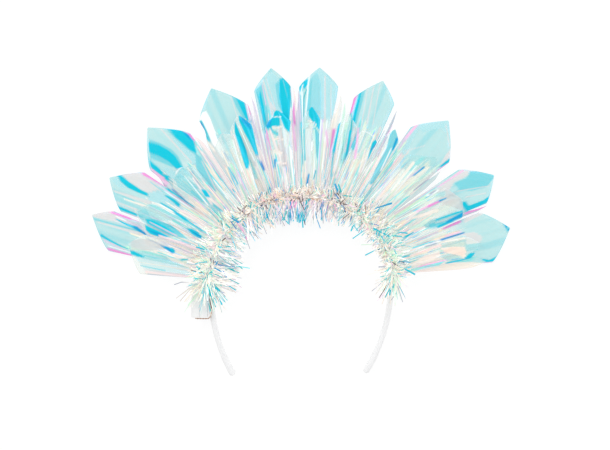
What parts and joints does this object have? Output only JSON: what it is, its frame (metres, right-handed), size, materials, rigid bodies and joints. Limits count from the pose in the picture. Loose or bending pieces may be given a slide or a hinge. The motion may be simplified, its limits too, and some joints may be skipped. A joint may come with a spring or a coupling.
{
  "type": "light-up tiara",
  "caption": "Slim headband tiara with a fan of pleated iridescent film petals, a tinsel garland over their feet, and a small battery case with wired lights.",
  "frame": {"origin": "centre of the band's upper arc, on the surface that the tiara lies on", "axes": "+X across the head to the right, +Y from the band's open ends to the crown, +Z from the back to the front, up from the resting surface"},
  "size_m": [0.3223, 0.2373, 0.0265],
  "materials": {
    "ribbon": "white satin ribbon",
    "film": "clear iridescent film, aqua with pink edges",
    "tinsel": "iridescent and silvery tinsel strands",
    "case_plastic": "white, satin",
    "switch_plastic": "pale grey, satin",
    "copper": "lacquered copper wire",
    "clear_drop": "clear resin over an unlit light"
  },
  "bodies": {
    "tiara": {"headband": "ribbon", "tinsel_garland": "tinsel", "battery_case": "case_plastic", "battery_cover": "case_plastic", "light_wire": "copper", "back_petal_1": "film", "back_petal_2": "film", "back_petal_3": "film", "back_petal_4": "film", "back_petal_5": "film", "back_petal_6": "film", "back_petal_7": "film", "back_petal_8": "film", "back_petal_9": "film", "back_petal_10": "film", "middle_petal_1": "film", "middle_petal_2": "film", "middle_petal_3": "film", "middle_petal_4": "film", "middle_petal_5": "film", "middle_petal_6": "film", "middle_petal_7": "film", "middle_petal_8": "film", "front_petal_1": "film", "front_petal_2": "film", "front_petal_3": "film", "front_petal_4": "film", "front_petal_5": "film", "light_drop_1": "clear_drop", "light_drop_2": "clear_drop", "light_drop_3": "clear_drop", "light_drop_4": "clear_drop", "light_drop_5": "clear_drop", "light_drop_6": "clear_drop", "light_drop_7": "clear_drop", "light_drop_8": "clear_drop", "light_drop_9": "clear_drop", "light_drop_10": "clear_drop"},
    "switch": {"switch_slider": "switch_plastic"}
  },
  "joints": [
    {"name": "switch_slide", "type": "slide", "parent": "tiara", "child": "switch", "axis": [0, 1, 0], "range_m": [0, 0.003]}
  ]
}
